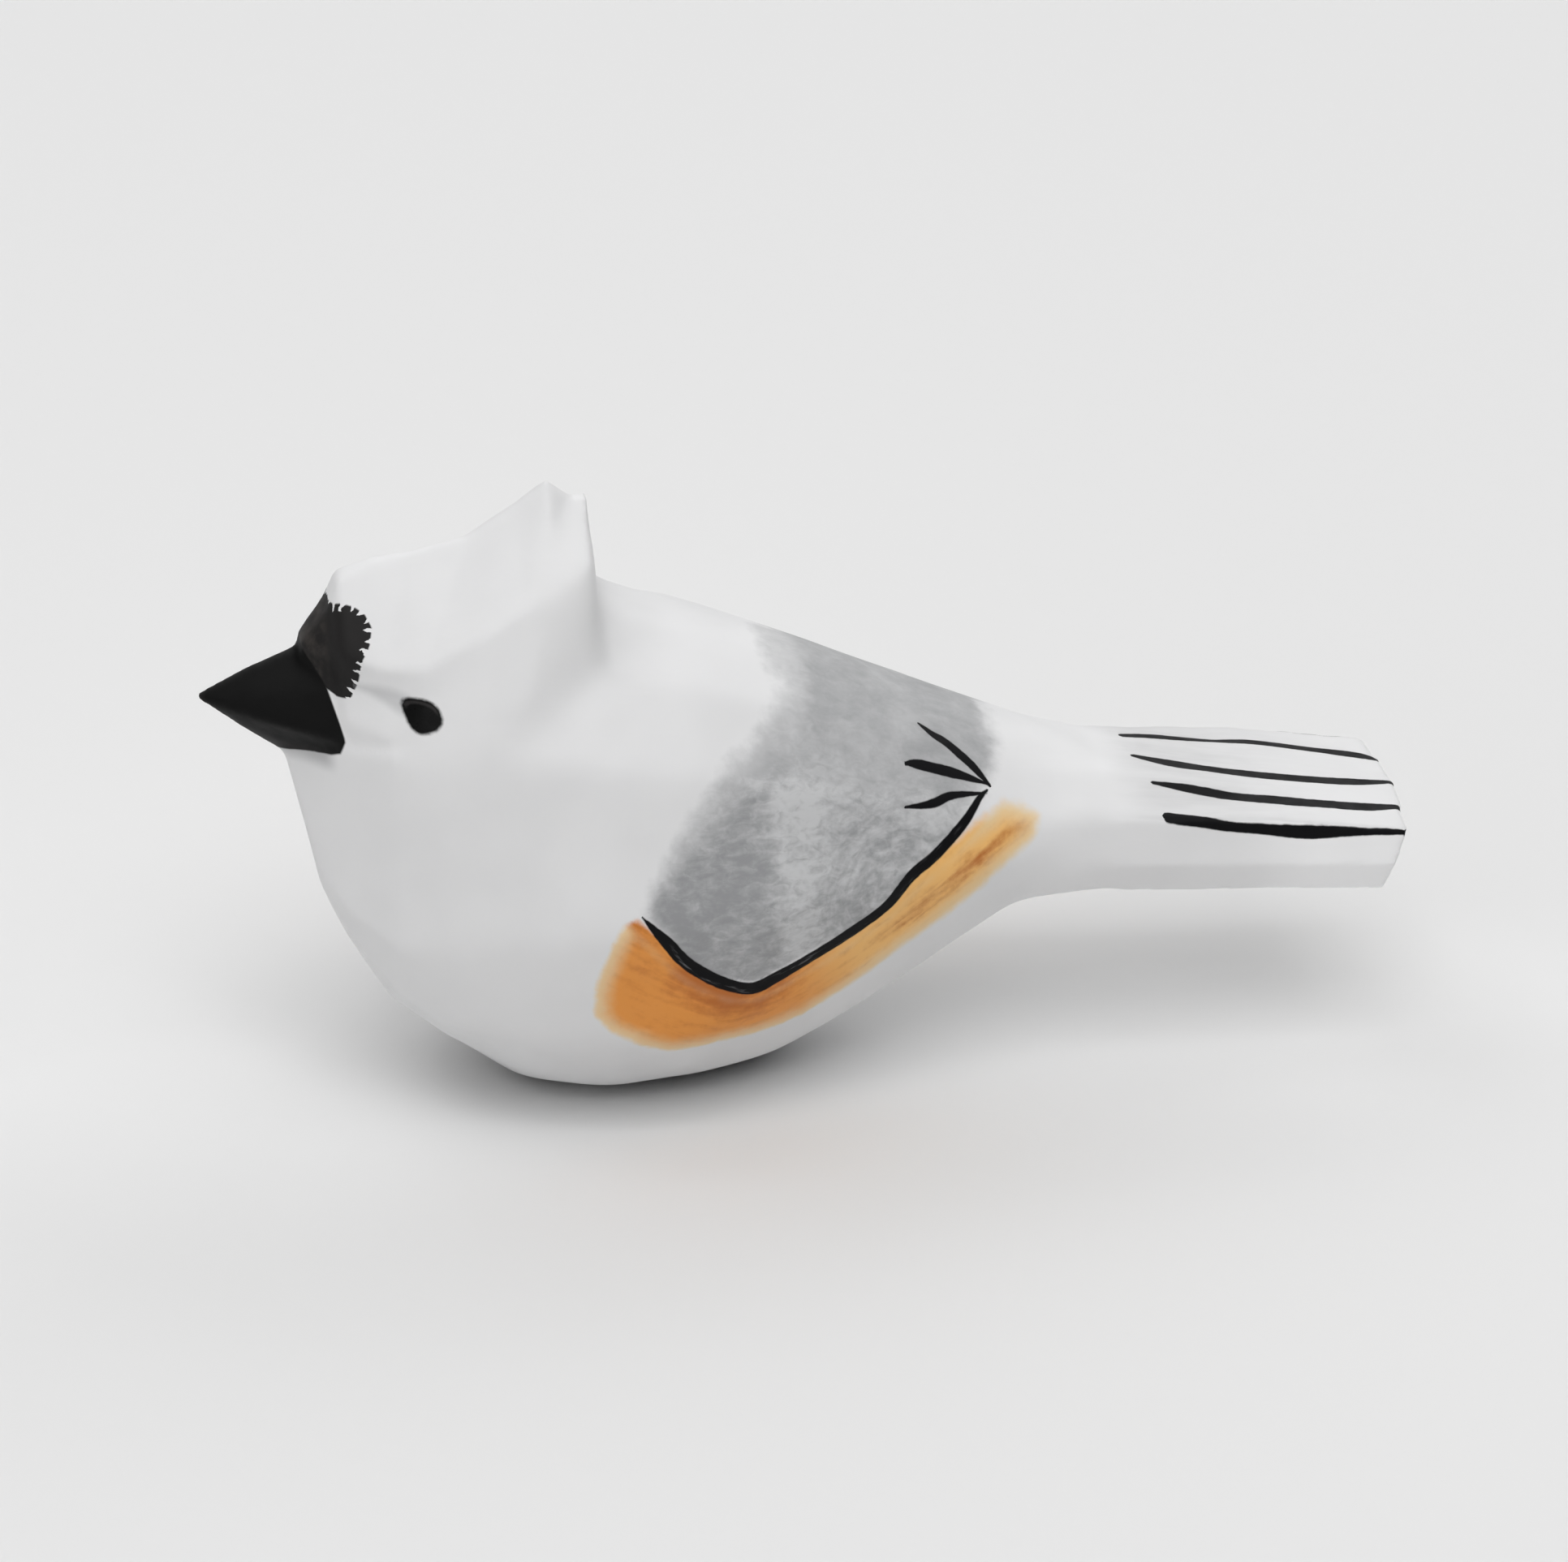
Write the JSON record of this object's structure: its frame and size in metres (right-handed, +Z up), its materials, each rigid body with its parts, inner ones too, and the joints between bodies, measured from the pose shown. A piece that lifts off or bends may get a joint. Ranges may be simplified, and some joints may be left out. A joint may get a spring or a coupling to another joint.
{
  "type": "carved wooden bird figurine",
  "caption": "Small crested songbird whittled from one block of wood and painted, with a flat tail and a flat under its belly to rest on.",
  "frame": {"origin": "middle of the resting flat under the belly", "axes": "+X towards the end of the tail, beak towards -X, +Y to the bird's own right, +Z up"},
  "size_m": [0.0983, 0.0384, 0.0505],
  "materials": {
    "painted_wood": "white satin paint over whittled wood, with hand-painted black, grey and rust markings"
  },
  "bodies": {
    "root": {"carved_bird": "painted_wood"}
  },
  "joints": []
}
